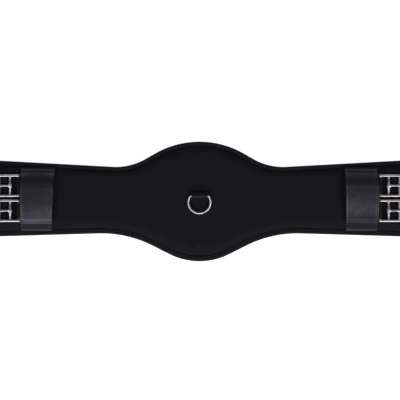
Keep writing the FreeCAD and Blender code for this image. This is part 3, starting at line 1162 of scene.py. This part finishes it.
# ---------------------------------------------------------------- stage
def softbox(name, place, aim, size, power):
    deselect()
    bpy.ops.object.light_add(type="AREA", location=place)
    lamp = bpy.context.object
    lamp.name = name
    lamp.data.shape = "RECTANGLE"
    lamp.data.size, lamp.data.size_y = size
    lamp.data.energy = power
    direction = Vector(aim) - Vector(place)
    lamp.rotation_euler = direction.to_track_quat("-Z", "Y").to_euler()
    return lamp


def make_stage():
    scene = bpy.context.scene
    scene.view_settings.view_transform = "Standard"
    world = bpy.data.worlds.new("studio")
    world.use_nodes = True
    world.node_tree.nodes["Background"].inputs["Color"].default_value = (1, 1, 1, 1)
    world.node_tree.nodes["Background"].inputs["Strength"].default_value = 0.1
    scene.world = world
    deselect()
    bpy.ops.mesh.primitive_plane_add(size=12.0, location=(0, 0, -0.0003))
    floor = bpy.context.object
    floor.name = "studio_floor"
    bpy.ops.object.transform_apply(location=True, rotation=True, scale=True)
    material, tree, place = blank("backlit matt acrylic")
    base = tone(tree, cloudy(tree, place, 300.0), *shades(colours().floor, 0.01))
    shade(
        tree, base, None, 0.9, specular_ior_level=0.1,
        emission_color=(1, 1, 1, 1), emission_strength=0.93,
    )
    floor.data.materials.append(material)
    softbox("left_softbox", (-1.5, -1.0, 1.9), (0, 0, 0), (1.6, 1.3), 24)
    softbox("right_softbox", (1.5, -1.0, 1.9), (0, 0, 0), (1.6, 1.3), 31)
    softbox("front_softbox", (0.0, -2.5, 1.1), (0, 0, 0), (2.6, 0.6), 38)
    centre = Vector((0.9 * MM, buckle_axis() - 2.8 * MM, 0))
    deselect()
    bpy.ops.object.camera_add(location=(centre.x, centre.y, 3.340), rotation=(0, 0, 0))
    camera = bpy.context.object
    camera.name = "overhead_camera"
    camera.data.lens = 200
    camera.data.sensor_width = 36
    camera.data.clip_end = 30
    scene.camera = camera


# ---------------------------------------------------------------- add-on
class GIRTH_OT_stage(bpy.types.Operator):
    """Sets the pale floor, the soft studio lights and the overhead camera"""

    bl_idname = "girth.stage"
    bl_label = "Stage"
    bl_options = {"REGISTER", "UNDO"}

    def execute(self, context):
        make_stage()
        return {"FINISHED"}


class GIRTH_OT_cushion(bpy.types.Operator):
    """Makes the foam-filled outer face"""

    bl_idname = "girth.cushion"
    bl_label = "Cushion"
    bl_options = {"REGISTER", "UNDO"}

    def execute(self, context):
        make_cushion()
        return {"FINISHED"}


class GIRTH_OT_lining(bpy.types.Operator):
    """Makes the soft underside"""

    bl_idname = "girth.lining"
    bl_label = "Lining"
    bl_options = {"REGISTER", "UNDO"}

    def execute(self, context):
        make_lining()
        return {"FINISHED"}


class GIRTH_OT_binding(bpy.types.Operator):
    """Makes the folded edge tape and its two stitch lines"""

    bl_idname = "girth.binding"
    bl_label = "Binding"
    bl_options = {"REGISTER", "UNDO"}

    def execute(self, context):
        make_binding()
        return {"FINISHED"}


class GIRTH_OT_keepers(bpy.types.Operator):
    """Makes the satin bands over the straps and their seams"""

    bl_idname = "girth.keepers"
    bl_label = "Keepers"
    bl_options = {"REGISTER", "UNDO"}

    def execute(self, context):
        make_keepers()
        return {"FINISHED"}


class GIRTH_OT_elastics(bpy.types.Operator):
    """Makes the four elastic straps and their box stitching"""

    bl_idname = "girth.elastics"
    bl_label = "Elastics"
    bl_options = {"REGISTER", "UNDO"}

    def execute(self, context):
        make_elastics()
        return {"FINISHED"}


class GIRTH_OT_chapes(bpy.types.Operator):
    """Makes the leather loops round the hinge bars"""

    bl_idname = "girth.chapes"
    bl_label = "Chapes"
    bl_options = {"REGISTER", "UNDO"}

    def execute(self, context):
        make_chapes()
        return {"FINISHED"}


class GIRTH_OT_webbings(bpy.types.Operator):
    """Makes the two load webbings inside the pad"""

    bl_idname = "girth.webbings"
    bl_label = "Webbings"
    bl_options = {"REGISTER", "UNDO"}

    def execute(self, context):
        make_webbings()
        return {"FINISHED"}


class GIRTH_OT_dee_tab(bpy.types.Operator):
    """Makes the folded strap that holds the dee"""

    bl_idname = "girth.dee_tab"
    bl_label = "Dee Tab"
    bl_options = {"REGISTER", "UNDO"}

    def execute(self, context):
        make_dee_tab()
        return {"FINISHED"}


class GIRTH_OT_buckles(bpy.types.Operator):
    """Makes the four buckle frames and their tongues"""

    bl_idname = "girth.buckles"
    bl_label = "Buckles"
    bl_options = {"REGISTER", "UNDO"}

    def execute(self, context):
        make_buckles()
        return {"FINISHED"}


class GIRTH_OT_dee(bpy.types.Operator):
    """Makes the bent wire dee"""

    bl_idname = "girth.dee"
    bl_label = "Dee"
    bl_options = {"REGISTER", "UNDO"}

    def execute(self, context):
        make_dee()
        return {"FINISHED"}


OPERATORS = [
    GIRTH_OT_stage,
    GIRTH_OT_cushion,
    GIRTH_OT_lining,
    GIRTH_OT_binding,
    GIRTH_OT_keepers,
    GIRTH_OT_elastics,
    GIRTH_OT_chapes,
    GIRTH_OT_webbings,
    GIRTH_OT_dee_tab,
    GIRTH_OT_buckles,
    GIRTH_OT_dee,
]


class GIRTH_PT_pieces(bpy.types.Panel):
    """Lists the girth's pieces"""

    bl_idname = "GIRTH_PT_pieces"
    bl_label = "Dressage Girth"
    bl_space_type = "VIEW_3D"
    bl_region_type = "UI"
    bl_category = "Girth"

    def draw(self, context):
        for step in OPERATORS:
            self.layout.operator(step.bl_idname)


CLASSES = [GirthSizes, GirthColours, *OPERATORS, GIRTH_PT_pieces]


def register():
    for cls in CLASSES:
        bpy.utils.register_class(cls)
    bpy.types.Scene.girth_sizes = PointerProperty(type=GirthSizes)
    bpy.types.Scene.girth_colours = PointerProperty(type=GirthColours)


def unregister():
    del bpy.types.Scene.girth_colours
    del bpy.types.Scene.girth_sizes
    for cls in reversed(CLASSES):
        bpy.utils.unregister_class(cls)


def main():
    register()
    for step in OPERATORS:
        getattr(bpy.ops.girth, step.bl_idname.split(".")[1])()


if __name__ == "__main__":
    main()
